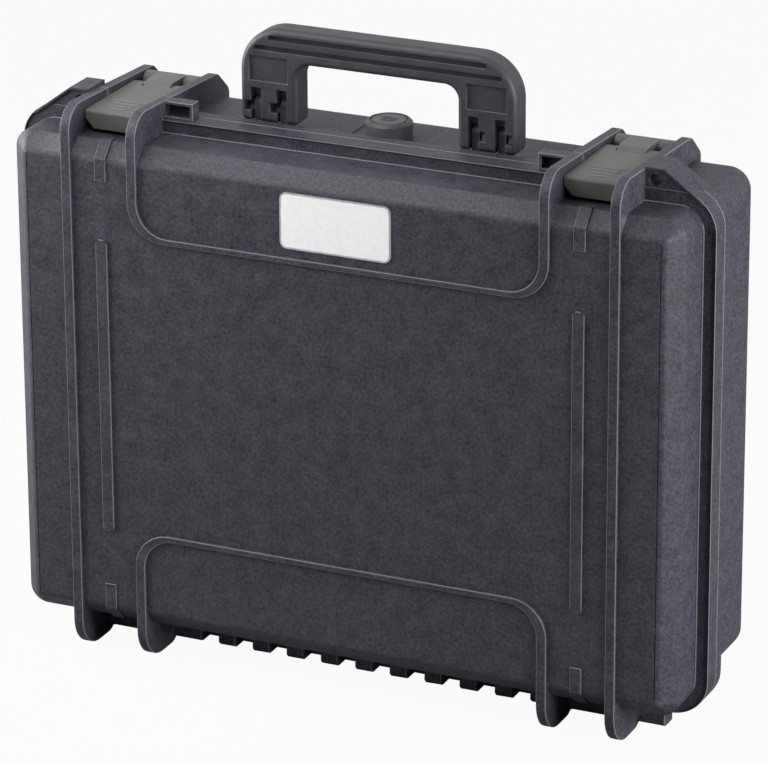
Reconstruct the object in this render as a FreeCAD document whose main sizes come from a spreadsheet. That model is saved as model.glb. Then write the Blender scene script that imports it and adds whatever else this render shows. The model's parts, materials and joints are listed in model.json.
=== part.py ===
import FreeCAD, Part
import os
import re
import Sketcher

# A hand-carried protective hard case that stands on its hinge side.
# Front is -Y, the lid faces the front, +Z is up and the feet stand on Z = 0.
# Lengths are in millimetres. "reach" is a distance back from the front of the ribs.

doc = FreeCAD.newDocument("hard_case")

SIZES = {
    # Whole case
    "case_width": 502, "case_depth": 142, "lid_depth": 56, "parting_gap": 0.3,
    "wall": 4, "overrun": 1, "pin_clearance": 0.05,
    # Flanges round the mouth
    "flange_top": 381, "flange_low": 15.5, "flange_radius": 26, "flange_step": 9.5,
    "lid_flange": 15, "base_flange": 10, "channel_lip": 0.9, "channel_depth": 1.5,
    "channel_radius": 17,
    # Lid dome
    "dome_low": 26, "dome_radius": 13, "front_chamfer": 11, "cavity_radius": 14,
    # Seal
    "seal_offset": 4.5, "seal_groove_width": 5, "seal_groove_depth": 4, "seal_clearance": 0.2,
    # Ribs, cheeks and feet
    "rib_width": 7, "rib_proud": 2.5, "outer_rib_inset": 53.5, "rib_spacing": 49,
    "cheek_top": 395, "cheek_round": 18, "cheek_fall": 2.4,
    "foot_round": 24, "lid_foot_reach": 50, "lid_foot_round": 12,
    "inner_rib_low": 338, "inner_rib_high": 68,
    "bead_high": 310, "bead_low": 95.5, "bead_width": 4, "bead_round": 26,
    # Raised bars on the front
    "bar_inset": 25, "bar_width": 8.5, "bar_low": 94, "bar_high": 305, "bar_proud": 1.8, "bar_round": 2.8, "stub_proud": 1,
    "top_stub": 345.5, "low_stub": 54.5,
    # Padlock gussets and hoods beside the latches
    "gusset_top": 394.7, "gusset_flat": 17, "lug_seat": 1.5, "lug_lip": 1.2, "corner_share": 0.3,
    "padlock_inset": 10, "padlock_z": 386, "padlock_radius": 4,
    "hood_width": 23.5, "hood_top": 392.5, "hood_depth": 10, "hood_wall": 2.2,
    # Hinge
    "hinge_z": 9, "knuckle_radius": 5.5, "knuckle_pitch": 13, "knuckle_gap": 0.5,
    "rod_radius": 2, "web_reach": 10, "ledge_bevel": 2.5, "ledge_inset": 30,
    # Base shell
    "deck": 372, "base_low": 30, "base_radius": 16, "base_low_radius": 15, "back_radius": 14,
    "ear_tip_reach": 125, "ear_top": 389, "ear_tail": 374,
    "base_foot_start": 66, "base_foot_flat": 78, "base_foot_end": 104, "base_foot_heel": 122,
    "back_rib_low": 52, "base_foot_round": 9, "ear_round": 8,
    # Handle
    "handle_half": 100, "handle_top": 445, "handle_low": 379, "handle_depth": 20, "handle_round": 30,
    "grip_half": 58, "grip_low": 422, "grip_round": 10, "handle_edge": 4,
    "handle_reach": 77.5, "handle_pivot": 390, "handle_pin_radius": 2.5, "handle_pin_inset": 3,
    "lug_inset": 11.5, "lug_width": 6, "lug_gap": 0.8, "lug_radius": 5.5, "lug_slot_top": 403,
    "foot_panel_low": 408, "foot_panel_high": 425, "foot_panel_inset": 7, "panel_depth": 2,
    "window_width": 5, "window_height": 7, "window_depth": 6,
    "groove_low": 429.5, "groove_high": 437, "groove_height": 3.2, "groove_round": 1.4, "groove_depth": 3.5,
    "low_groove_inset": 10, "high_groove_inset": 21,
    # Latches
    "latch_gap": 0.5, "pin_radius": 2, "pin_bite": 4,
    "lever_reach": 23, "lever_top": 387.5, "lever_thick": 5, "lip_low": 374.5, "lip_thick": 4,
    "lever_pivot_reach": 93, "latch_axis": 382, "lever_lug": 5.4, "lever_edge": 2.5, "lip_corner": 6.5,
    "tongue_half": 10, "tongue_radius": 7.3, "link_pin_reach": 113, "link_radius": 7, "tongue_low": 378,
    "ridge_pitch": 6, "ridge_width": 1.6, "ridge_height": 0.7, "ridge_inset": 5, "ridge_step": 2.5, "ridge_start": 7,
    "catch_reach": 34, "catch_z": 379, "catch_radius": 2, "hook_gap": 0.4, "hook_half": 13,
    # Pressure valve
    "valve_reach": 88, "valve_hole": 8, "stem_radius": 7.8, "valve_flange": 14.2, "valve_flange_thick": 3,
    "valve_seal_thick": 1.2, "cap_radius": 16, "cap_top": 386.5, "cap_skin": 2.5, "cap_gap": 0.3,
    "cap_groove_radius": 13, "cap_groove_width": 1.4, "cap_groove_depth": 1, "cap_edge": 2,
    "stem_bore": 5, "stem_length": 10, "nut_radius": 12, "nut_thick": 3.5, "membrane_thick": 0.6,
    "deck_panel_x": 28, "deck_panel_rise": 1.2, "deck_panel_end": 122, "deck_panel_margin": 22.5,
}

sheet = doc.addObject("Spreadsheet::Sheet", "sizes")
for line, (alias, size) in enumerate(SIZES.items(), start=1):
    sheet.set("A%d" % line, alias)
    sheet.set("B%d" % line, str(size))
    sheet.setAlias("B%d" % line, alias)
doc.recompute()

# Places that several pieces share, in named sizes
FRONT = "(-case_depth / 2)"
BACK = "(case_depth / 2)"
PARTING = "(-case_depth / 2 + lid_depth)"
BASE_FACE = "(-case_depth / 2 + lid_depth + parting_gap)"
FLANGE_HALF = "(case_width / 2)"
DOME_HALF = "(case_width / 2 - flange_step)"
DOME_TOP = "(flange_top - flange_step)"
CAVITY_HALF = "(case_width / 2 - flange_step - wall)"
OUTER_X = "(case_width / 2 - outer_rib_inset)"
INNER_X = "(case_width / 2 - outer_rib_inset - rib_spacing)"
RIB_OUT = "(%s - rib_width / 2)" % OUTER_X
RIB_IN = "(%s - rib_width / 2)" % INNER_X
LATCH_X = "(case_width / 2 - outer_rib_inset - rib_spacing / 2)"
LATCH_HALF = "((rib_spacing - rib_width) / 2 - latch_gap)"
PIN_SPAN = "(rib_spacing - rib_width + 2 * pin_bite)"
NEAR_LUG = "(grip_half + lug_inset)"
FAR_LUG = "(handle_half - lug_inset)"
GRIP_RIDGES = 4
LID_KNUCKLES = 11
BASE_KNUCKLES = LID_KNUCKLES - 1
HINGE_HALF = "(knuckle_pitch * %d / 2)" % (LID_KNUCKLES + BASE_KNUCKLES)
LEDGE_LOW = "(hinge_z - knuckle_radius)"
LUG_SEAT = "(flange_top - lug_seat)"
LUG_ROOT = "(%s + rib_width / 2)" % OUTER_X
LUG_FLAT = "(%s + gusset_flat)" % OUTER_X
LUG_END = ("(%s - corner_share * flange_radius)" % FLANGE_HALF, "(flange_top - corner_share * flange_radius)")


def named(text):
    """An expression with each size's name put on its sheet."""
    return re.sub(r"[a-z][a-z_]+", lambda word: "sizes." + word.group(0), text)


def number(text):
    """The present value of an expression in named sizes."""
    return float(sheet.evalExpression(named(text)))


def at(reach):
    """The Y of a place given by its reach back from the front of the ribs."""
    return "(-case_depth / 2 + %s)" % reach


def bind(feature, path, text):
    feature.setExpression(path, named(text))


def new_body(label):
    body = doc.addObject("PartDesign::Body", label)
    body.Label = label
    body.AllowCompound = True
    return body


def new_sketch(body, name, plane, offset):
    """A sketch on one of the body's own planes, moved along that plane's normal."""
    sketch = body.newObject("Sketcher::SketchObject", name)
    origin = [feature for feature in body.Origin.OriginFeatures if feature.Role == plane]
    sketch.AttachmentSupport = [(origin[0], "")]
    sketch.MapMode = "FlatFace"
    sign = "-" if plane == "XZ_Plane" else ""
    bind(sketch, "AttachmentOffset.Base.z", "%s(%s)" % (sign, offset))
    return sketch


def pin_point(sketch, geometry, end, across, up):
    """Ties one end of an edge to a place in named sizes."""
    for kind, text in (("DistanceX", across), ("DistanceY", up)):
        index = sketch.addConstraint(Sketcher.Constraint(kind, -1, 1, geometry, end, number(text)))
        bind(sketch, "Constraints[%d]" % index, text)


def polygon(sketch, points):
    """A closed outline of straight edges through places in named sizes."""
    first = sketch.GeometryCount
    spots = [FreeCAD.Vector(number(across), number(up), 0) for across, up in points]
    for index, spot in enumerate(spots):
        sketch.addGeometry(Part.LineSegment(spot, spots[(index + 1) % len(spots)]), False)
    for index, (across, up) in enumerate(points):
        following = first + (index + 1) % len(points)
        sketch.addConstraint(Sketcher.Constraint("Coincident", first + index, 2, following, 1))
        pin_point(sketch, first + index, 1, across, up)


def rounded_box(sketch, left, right, low, high, radius, low_radius=None):
    """A closed box outline with round corners, the lower two of another radius on request."""
    first = sketch.GeometryCount
    west, east, south, north = number(left), number(right), number(low), number(high)
    bend, tight = number(radius), number(low_radius or radius)
    corners = [(east - tight, south + tight, 270, tight), (east - bend, north - bend, 0, bend),
               (west + bend, north - bend, 90, bend), (west + tight, south + tight, 180, tight)]
    ends = [((west + tight, south), (east - tight, south)), ((east, south + tight), (east, north - bend)),
            ((east - bend, north), (west + bend, north)), ((west, north - bend), (west, south + tight))]
    up = FreeCAD.Vector(0, 0, 1)
    for (start, stop), (across, height, turn, size) in zip(ends, corners):
        sketch.addGeometry(Part.LineSegment(FreeCAD.Vector(*start, 0), FreeCAD.Vector(*stop, 0)), False)
        circle = Part.Circle(FreeCAD.Vector(across, height, 0), up, size)
        turn = turn - 360 if turn == 270 else turn
        begin = FreeCAD.Units.Quantity(turn, FreeCAD.Units.Angle).getValueAs("rad").Value
        sweep = FreeCAD.Units.Quantity(turn + 90, FreeCAD.Units.Angle).getValueAs("rad").Value
        sketch.addGeometry(Part.ArcOfCircle(circle, begin, sweep), False)
    for edge in range(4):
        line, arc = first + 2 * edge, first + 2 * edge + 1
        following = first + (2 * edge + 2) % 8
        sketch.addConstraint(Sketcher.Constraint("Tangent", line, 2, arc, 1))
        sketch.addConstraint(Sketcher.Constraint("Tangent", arc, 2, following, 1))
        sketch.addConstraint(Sketcher.Constraint("Horizontal" if edge % 2 == 0 else "Vertical", line))
    for arc, twin, text in ((1, 7, low_radius or radius), (3, 5, radius)):
        sketch.addConstraint(Sketcher.Constraint("Equal", first + arc, first + twin))
        index = sketch.addConstraint(Sketcher.Constraint("Radius", first + arc, number(text)))
        bind(sketch, "Constraints[%d]" % index, text)
    sides = (("DistanceY", 0, low), ("DistanceX", 2, right), ("DistanceY", 4, high), ("DistanceX", 6, left))
    for kind, line, text in sides:
        index = sketch.addConstraint(Sketcher.Constraint(kind, -1, 1, first + line, 1, number(text)))
        bind(sketch, "Constraints[%d]" % index, text)


def circle(sketch, across, up, radius):
    """A full circle about a place in named sizes."""
    centre = FreeCAD.Vector(number(across), number(up), 0)
    ring = sketch.addGeometry(Part.Circle(centre, FreeCAD.Vector(0, 0, 1), number(radius)), False)
    pin_point(sketch, ring, 3, across, up)
    index = sketch.addConstraint(Sketcher.Constraint("Radius", ring, number(radius)))
    bind(sketch, "Constraints[%d]" % index, radius)


def extrude(body, kind, sketch, length, backwards=False):
    """A pad or pocket of a sketch, which has to change the body's volume."""
    doc.recompute()
    before = body.Shape.Volume if body.Shape and not body.Shape.isNull() else 0
    feature = body.newObject("PartDesign::" + kind, sketch.Name + "_" + kind.lower())
    feature.Profile = sketch
    bind(feature, "Length", length)
    feature.Reversed = backwards
    doc.recompute()
    if "Invalid" in feature.State or abs(body.Shape.Volume - before) < 1e-6:
        raise RuntimeError("%s changes nothing" % feature.Name)
    return feature


def pad(body, sketch, length, backwards=False):
    return extrude(body, "Pad", sketch, length, backwards)


def pocket(body, sketch, length, backwards=False):
    return extrude(body, "Pocket", sketch, length, backwards)


def mirror(body, features):
    """The same features on the other side of the case's middle plane."""
    middle = [feature for feature in body.Origin.OriginFeatures if feature.Role == "YZ_Plane"]
    copy = body.newObject("PartDesign::Mirrored", features[-1].Name + "_mirror")
    copy.Originals = features
    copy.MirrorPlane = (middle[0], [""])
    body.Tip = copy
    doc.recompute()
    return copy


def row(body, features, step, count):
    """Copies of features along X, at an even step."""
    along = [feature for feature in body.Origin.OriginFeatures if feature.Role == "X_Axis"]
    pattern = body.newObject("PartDesign::LinearPattern", features[-1].Name + "_row")
    pattern.Originals = features
    pattern.Direction = (along[0], [""])
    pattern.Mode = "Spacing" if "Spacing" in pattern.getEnumerationsOfProperty("Mode") else pattern.Mode
    bind(pattern, "Offset", step)
    pattern.Occurrences = count
    body.Tip = pattern
    doc.recompute()
    return pattern


def round_edges(body, kind, size, wanted):
    """A fillet or chamfer on the edges of the body that a test picks."""
    doc.recompute()
    base = body.Tip
    names = ["Edge%d" % (index + 1) for index, edge in enumerate(base.Shape.Edges) if wanted(edge)]
    feature = body.newObject("PartDesign::" + kind, "%s_%s" % (base.Name, kind.lower()))
    feature.Base = (base, names)
    bind(feature, "Radius" if kind == "Fillet" else "Size", size)
    doc.recompute()
    if "Invalid" in feature.State or not names:
        raise RuntimeError("%s found %d edges and failed" % (feature.Name, len(names)))
    return feature


def near(first, second):
    return abs(first - second) < 1e-3


def along_x_at(places):
    """A test for straight edges along X that pass places given as Y and Z."""
    spots = [(number(y), number(z)) for y, z in places]

    def wanted(edge):
        ends = [vertex.Point for vertex in edge.Vertexes]
        if len(ends) != 2 or not (near(ends[0].y, ends[1].y) and near(ends[0].z, ends[1].z)):
            return False
        return any(near(ends[0].y, y) and near(ends[0].z, z) for y, z in spots)
    return wanted


def along_y_at(places):
    """A test for straight edges along Y that pass places given as X and Z."""
    spots = [(number(x), number(z)) for x, z in places]

    def wanted(edge):
        ends = [vertex.Point for vertex in edge.Vertexes]
        if len(ends) != 2 or not (near(ends[0].x, ends[1].x) and near(ends[0].z, ends[1].z)):
            return False
        return any(near(abs(ends[0].x), x) and near(ends[0].z, z) for x, z in spots)
    return wanted


def low_along_y(level):
    """A test for straight edges along Y at one height."""
    height = number(level)

    def wanted(edge):
        box = edge.BoundBox
        return near(box.ZMin, height) and near(box.ZMax, height) and near(box.XMin, box.XMax)
    return wanted


def in_plane_y(place):
    """A test for edges that lie in one upright plane facing front or back."""
    level = number(place)

    def wanted(edge):
        box = edge.BoundBox
        return near(box.YMin, level) and near(box.YMax, level)
    return wanted


def revolve(body, sketch):
    """A full turn of a sketch about its own upright axis."""
    feature = body.newObject("PartDesign::Revolution", sketch.Name + "_turn")
    feature.Profile = sketch
    feature.ReferenceAxis = (sketch, ["V_Axis"])
    feature.Angle = 360
    doc.recompute()
    return feature


def joined(label, solids):
    """One solid from several that meet."""
    whole = doc.addObject("Part::MultiFuse", label)
    whole.Shapes = solids
    whole.Refine = True
    return whole


def carved(label, solids, tools):
    """A sub-part: joined solids, less the joined tools."""
    piece = doc.addObject("Part::Cut", label)
    piece.Label = label
    piece.Base = joined(label + "_solid", solids)
    piece.Tool = joined(label + "_tools", tools) if len(tools) > 1 else tools[0]
    doc.recompute()
    return piece


def slab(name, plane, offset, outlines, length, backwards=False, mirrored=False):
    """A body made by padding closed outlines, with a twin across the middle plane on request."""
    body = new_body(name)
    sketch = new_sketch(body, name + "_outline", plane, offset)
    for outline in outlines:
        polygon(sketch, outline)
    plate = pad(body, sketch, length, backwards)
    if mirrored:
        mirror(body, [plate])
    return body


def rod(name, offset, across, up, radius, length, mirrored=False):
    """A round bar along X."""
    body = new_body(name)
    sketch = new_sketch(body, name + "_outline", "YZ_Plane", offset)
    circle(sketch, across, up, radius)
    bar = pad(body, sketch, length)
    if mirrored:
        mirror(body, [bar])
    return body


def box_block(name, face, half, low, high, radius, length, backwards=False, low_radius=None):
    """A round-cornered block that grows from an upright face."""
    body = new_body(name)
    sketch = new_sketch(body, name + "_outline", "XZ_Plane", face)
    rounded_box(sketch, "-" + half, half, low, high, radius, low_radius)
    pad(body, sketch, length, backwards)
    return body


def box_outline(left, right, low, high):
    return [(left, low), (right, low), (right, high), (left, high)]


# Forms that the two shells share


def padlock_lugs(half, shell, face, thick, backwards, lip):
    """Gables with a padlock hole that carry the flange's edge up beside each latch."""
    for side, sign in (("left", "-"), ("right", "")):
        root, flat, corner = ["%s%s" % (sign, place) for place in (LUG_ROOT, LUG_FLAT, LUG_END[0])]
        label = "%s_lug_%s" % (half, side)
        gable = [(root, LUG_SEAT), (root, "gusset_top"), (flat, "gusset_top"), (corner, LUG_END[1]),
                 ("%s(%s - flange_radius)" % (sign, FLANGE_HALF), LUG_SEAT)]
        plate = slab(label + "_plate", "XZ_Plane", face, [gable], thick, backwards)
        hole = new_sketch(plate, label + "_hole", "XZ_Plane", face)
        circle(hole, "%s(%s + padlock_inset)" % (sign, OUTER_X), "padlock_z", "padlock_radius")
        pocket(plate, hole, thick, not backwards)
        if lip:
            edge = new_sketch(plate, label + "_edge", "XZ_Plane", at("(lid_depth - lid_flange + channel_depth)"))
            polygon(edge, [(root, "gusset_top"), (flat, "gusset_top"), (corner, LUG_END[1]),
                           ("%s(%s - 2 * lug_lip)" % (sign, LUG_END[0]), LUG_END[1]),
                           ("%s(%s - lug_lip / 2)" % (sign, LUG_FLAT), "gusset_top - lug_lip"),
                           (root, "gusset_top - lug_lip")])
            pad(plate, edge, "channel_depth")
        lug = doc.addObject("Part::Cut", label)
        lug.Base = plate
        lug.Tool = shell
        doc.recompute()


def hinge_ledge(sign, reach):
    """The section of the ledge that hangs under a flange and carries the hinge."""
    root, edge = "(%s %s %s)" % (PARTING, sign, reach), "(%s %s parting_gap)" % (PARTING, sign)
    return [(root, "flange_low + overrun"), (root, LEDGE_LOW + " + ledge_bevel"),
            ("(%s %s (%s - ledge_bevel))" % (PARTING, sign, reach), LEDGE_LOW), (edge, LEDGE_LOW),
            (edge, "flange_low + overrun")]


def knuckles(side, start, count, section):
    """Round knuckles on teeth of the ledge along the hinge line."""
    body = new_body(side + "_knuckles")
    place = start + " + knuckle_gap / 2"
    web = new_sketch(body, side + "_web", "YZ_Plane", place)
    polygon(web, section)
    webbing = pad(body, web, "knuckle_pitch - knuckle_gap")
    barrel = new_sketch(body, side + "_barrel", "YZ_Plane", place)
    circle(barrel, PARTING, "hinge_z", "knuckle_radius")
    knuckle = pad(body, barrel, "knuckle_pitch - knuckle_gap")
    row(body, [webbing, knuckle], "2 * knuckle_pitch", count)
    return body


def rod_bore(side):
    return rod(side + "_rod_bore", "-(%s + overrun)" % HINGE_HALF, PARTING, "hinge_z",
               "rod_radius + pin_clearance", "2 * (%s + overrun)" % HINGE_HALF)


def cheek_bores(name, reach, up, radius):
    """Blind holes in the facing cheeks of each latch."""
    return rod(name, INNER_X + " + rib_width / 2 - pin_bite", at(reach), up, radius + " + pin_clearance", PIN_SPAN,
               mirrored=True)


# Lid shell


def lid_ribs():
    """Upright rib plates that wrap the lid, with feet below and cheeks beside the latches."""
    body = new_body("lid_ribs")
    foot = [(at("lid_foot_reach"), "flange_low"), (at("lid_foot_reach"), "0"), (FRONT, "0")]
    crown = [(FRONT, "cheek_top"), (PARTING, "cheek_top - cheek_fall")]
    whole = crown + [(PARTING, "flange_low")] + foot
    high = crown + [(PARTING, "inner_rib_low"), (FRONT, "inner_rib_low")]
    low = [(FRONT, "inner_rib_high"), (PARTING, "inner_rib_high"), (PARTING, "flange_low")] + foot
    for name, place, outline in (("outer_rib", RIB_OUT, whole), ("cheek", RIB_IN, high), ("foot", RIB_IN, low)):
        sketch = new_sketch(body, "lid_" + name, "YZ_Plane", place)
        polygon(sketch, outline)
        mirror(body, [pad(body, sketch, "rib_width")])
    round_edges(body, "Fillet", "cheek_round", along_x_at([(FRONT, "cheek_top")]))
    round_edges(body, "Fillet", "foot_round", along_x_at([(FRONT, "0")]))
    round_edges(body, "Fillet", "lid_foot_round", along_x_at([(at("lid_foot_reach"), "0")]))
    return body


def front_beads():
    """Beads that join the inner ribs into a frame at the top and at the bottom of the front."""
    outside, inside = "(%s + rib_width / 2)" % INNER_X, RIB_IN
    beads = []
    for name, level, end, sign, back in (("high_bead", "bead_high", "inner_rib_low", "-", "+"),
                                         ("low_bead", "bead_low", "inner_rib_high", "+", "-")):
        outer = "(%s %s bead_width / 2)" % (level, sign)
        inner = "(%s %s bead_width / 2)" % (level, back)
        frame = [("-" + outside, end), ("-" + outside, outer), (outside, outer), (outside, end),
                 (inside, end), (inside, inner), ("-" + inside, inner), ("-" + inside, end)]
        body = slab(name, "XZ_Plane", at("(rib_proud + overrun)"), [frame], "rib_proud + overrun")
        round_edges(body, "Fillet", "bead_round", along_y_at([(outside, outer)]))
        round_edges(body, "Fillet", "bead_round - bead_width", along_y_at([(inside, inner)]))
        beads.append(body)
    return beads


def front_bars():
    """A long raised bar and two short ones beside each outer rib."""
    long_bars = new_body("long_bars")
    sketch = new_sketch(long_bars, "long_bar", "XZ_Plane", at("(rib_proud + overrun)"))
    left = "(%s - bar_inset - bar_width / 2)" % OUTER_X
    rounded_box(sketch, left, left + " + bar_width", "bar_low", "bar_high", "bar_round")
    mirror(long_bars, [pad(long_bars, sketch, "bar_proud + overrun")])
    proud, inside = at("(rib_proud - stub_proud)"), at("(rib_proud + front_chamfer + wall)")
    slope = at("(rib_proud + front_chamfer - stub_proud)")
    top = [(proud, "top_stub"), (proud, DOME_TOP + " - front_chamfer + stub_proud"),
           (slope, DOME_TOP + " + stub_proud"), (inside, DOME_TOP + " + stub_proud"), (inside, "top_stub")]
    low = [(proud, "low_stub"), (proud, "dome_low + front_chamfer - stub_proud"),
           (slope, "dome_low - stub_proud"), (inside, "dome_low - stub_proud"), (inside, "low_stub")]
    return [long_bars, slab("short_bars", "YZ_Plane", left, [top, low], "bar_width", mirrored=True)]


def hoods():
    """Small hollow blocks on the lid's flange, inside the inner cheeks."""
    edge = "(%s - hood_width)" % INNER_X
    body = slab("hoods", "XZ_Plane", PARTING, [box_outline(edge, INNER_X, "flange_top - wall", "hood_top")],
                "hood_depth")
    hollow = new_sketch(body, "hood_hollow", "XZ_Plane", at("(lid_depth - hood_depth)"))
    polygon(hollow, box_outline(edge + " + hood_wall", RIB_IN, "flange_top + hood_wall / 2", "hood_top - hood_wall"))
    opened = pocket(body, hollow, "hood_depth - hood_wall")
    mirror(body, [body.Group[1], opened])
    return body


def seal_ring(sketch, inset):
    """The ring between the seal groove's two walls, drawn in by an inset."""
    for offset in ("(seal_offset + %s)" % inset, "(seal_offset + seal_groove_width - %s)" % inset):
        half = "(%s + %s)" % (CAVITY_HALF, offset)
        rounded_box(sketch, "-" + half, half, "dome_low + wall - " + offset,
                    "%s - wall + %s" % (DOME_TOP, offset), "cavity_radius + " + offset)


def seal_body(label, inset, depth):
    body = new_body(label)
    sketch = new_sketch(body, label + "_ring", "XZ_Plane", PARTING)
    seal_ring(sketch, inset)
    pad(body, sketch, depth)
    return body


def lid_shell():
    dome = box_block("lid_dome", PARTING, DOME_HALF, "dome_low", DOME_TOP, "dome_radius", "lid_depth - rib_proud")
    round_edges(dome, "Chamfer", "front_chamfer", in_plane_y(at("rib_proud")))
    rim = box_block("lid_rim", PARTING, FLANGE_HALF, "flange_low", "flange_top", "flange_radius", "lid_flange")
    channel = new_sketch(rim, "rim_channel", "XZ_Plane", at("(lid_depth - lid_flange)"))
    outer, inner = "(%s - channel_lip)" % FLANGE_HALF, "(%s + channel_lip)" % DOME_HALF
    rounded_box(channel, "-" + outer, outer, "flange_low + channel_lip", "flange_top - channel_lip",
                "flange_radius - channel_lip")
    rounded_box(channel, "-" + inner, inner, "dome_low - channel_lip", DOME_TOP + " + channel_lip",
                "channel_radius")
    pocket(rim, channel, "channel_depth")
    gap = new_sketch(rim, "lip_gap", "XZ_Plane", at("(lid_depth - lid_flange)"))
    end = "(%s - 2 * lug_lip)" % LUG_END[0]
    polygon(gap, [(LUG_ROOT, LUG_SEAT), (LUG_ROOT, "flange_top + overrun"), (end, "flange_top + overrun"),
                  (end, LUG_END[1]), ("(%s - flange_radius)" % FLANGE_HALF, LUG_SEAT)])
    mirror(rim, [pocket(rim, gap, "channel_depth")])
    solids = [dome, rim, lid_ribs()] + front_beads() + front_bars()
    solids.append(hoods())
    ledge = hinge_ledge("-", "lid_flange")
    solids.append(knuckles("lid", "-" + HINGE_HALF, LID_KNUCKLES, ledge))
    solids.append(slab("ledge_ends", "YZ_Plane", HINGE_HALF + " - knuckle_gap", [ledge],
                       "%s - ledge_inset - (%s - knuckle_gap)" % (FLANGE_HALF, HINGE_HALF), mirrored=True))
    cavity = box_block("lid_cavity", PARTING, CAVITY_HALF, "dome_low + wall", DOME_TOP + " - wall",
                       "cavity_radius", "lid_depth - rib_proud - wall")
    round_edges(cavity, "Chamfer", "front_chamfer - wall / 2", in_plane_y(at("(rib_proud + wall)")))
    tools = [cavity, seal_body("seal_groove", "0", "seal_groove_depth"), rod_bore("lid"),
             cheek_bores("catch_bores", "catch_reach", "catch_z", "catch_radius")]
    padlock_lugs("lid", carved("lid_shell", solids, tools), PARTING, "(lid_flange - channel_depth)", False,
                 True)


# Base shell


def base_ribs():
    """Rib plates that wrap the base, with feet below and ears that guard the latches."""
    body = new_body("base_ribs")
    crown = [(BASE_FACE, "cheek_top - cheek_fall"), (at("ear_tip_reach"), "ear_top"), (BACK, "ear_tail")]
    foot = [(BACK, "back_rib_low"), (at("base_foot_heel"), "base_low - rib_proud"), (at("base_foot_end"), "0"),
            (at("base_foot_flat"), "0"), (at("base_foot_start"), "flange_low"), (BASE_FACE, "flange_low")]
    high = crown + [(BACK, "inner_rib_low"), (BASE_FACE, "inner_rib_low")]
    low = [(BASE_FACE, "inner_rib_high"), (BACK, "inner_rib_high")] + foot
    for name, place, outline in (("outer_rib", RIB_OUT, crown + foot), ("ear", RIB_IN, high), ("foot", RIB_IN, low)):
        sketch = new_sketch(body, "base_" + name, "YZ_Plane", place)
        polygon(sketch, outline)
        mirror(body, [pad(body, sketch, "rib_width")])
    round_edges(body, "Fillet", "ear_round", along_x_at([(at("ear_tip_reach"), "ear_top"), (BACK, "ear_tail")]))
    round_edges(body, "Fillet", "base_foot_round",
                along_x_at([(at("base_foot_end"), "0"), (at("base_foot_flat"), "0")]))
    return body


def handle_lugs():
    """Two upright lugs for each foot of the handle."""
    lugs = []
    shank = box_outline(at("(handle_reach - lug_radius)"), at("(handle_reach + lug_radius)"),
                        "deck - wall / 2", "handle_pivot")
    for name, place in (("near", NEAR_LUG + " - lug_width / 2"), ("far", FAR_LUG + " - lug_width / 2")):
        lugs.append(slab(name + "_lug_shanks", "YZ_Plane", place, [shank], "lug_width", mirrored=True))
        lugs.append(rod(name + "_lug_eyes", place, at("handle_reach"), "handle_pivot", "lug_radius", "lug_width",
                        mirrored=True))
    return lugs


def base_shell():
    depth = "(case_depth - lid_depth - parting_gap - rib_proud)"
    tub = box_block("base_tub", BASE_FACE, DOME_HALF, "base_low", "deck", "base_radius", depth, True, "base_low_radius")
    round_edges(tub, "Fillet", "back_radius", in_plane_y(at("(case_depth - rib_proud)")))
    rim = box_block("base_rim", BASE_FACE, FLANGE_HALF, "flange_low", "flange_top", "flange_radius",
                    "base_flange - parting_gap", True)
    panel = box_outline("deck_panel_x", INNER_X + " - deck_panel_margin", at("base_foot_start"), at("deck_panel_end"))
    panels = slab("deck_panels", "XY_Plane", "deck - wall / 2", [panel], "deck_panel_rise + wall / 2", mirrored=True)
    solids = [tub, rim, panels, base_ribs()] + handle_lugs()
    solids.append(knuckles("base", "-%s + knuckle_pitch" % HINGE_HALF, BASE_KNUCKLES, hinge_ledge("+", "web_reach")))
    cavity = box_block("base_cavity", BASE_FACE, CAVITY_HALF, "base_low + wall", "deck - wall", "cavity_radius",
                       depth + " - wall", True)
    round_edges(cavity, "Fillet", "back_radius - wall", in_plane_y(at("(case_depth - rib_proud - wall)")))
    valve_hole = new_body("valve_hole")
    round_hole = new_sketch(valve_hole, "valve_hole_outline", "XY_Plane", "deck - wall - overrun")
    circle(round_hole, "0", at("valve_reach"), "valve_hole")
    pad(valve_hole, round_hole, "wall + 2 * overrun")
    eyes = rod("lug_bores", "grip_half", at("handle_reach"), "handle_pivot", "handle_pin_radius + pin_clearance",
               "handle_half - grip_half", mirrored=True)
    tools = [cavity, valve_hole, eyes, rod_bore("base"),
             cheek_bores("link_pin_bores", "link_pin_reach", "latch_axis", "pin_radius")]
    padlock_lugs("base", carved("base_shell", solids, tools), BASE_FACE, "(base_flange - parting_gap)", True,
                 False)


# Handle


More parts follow.
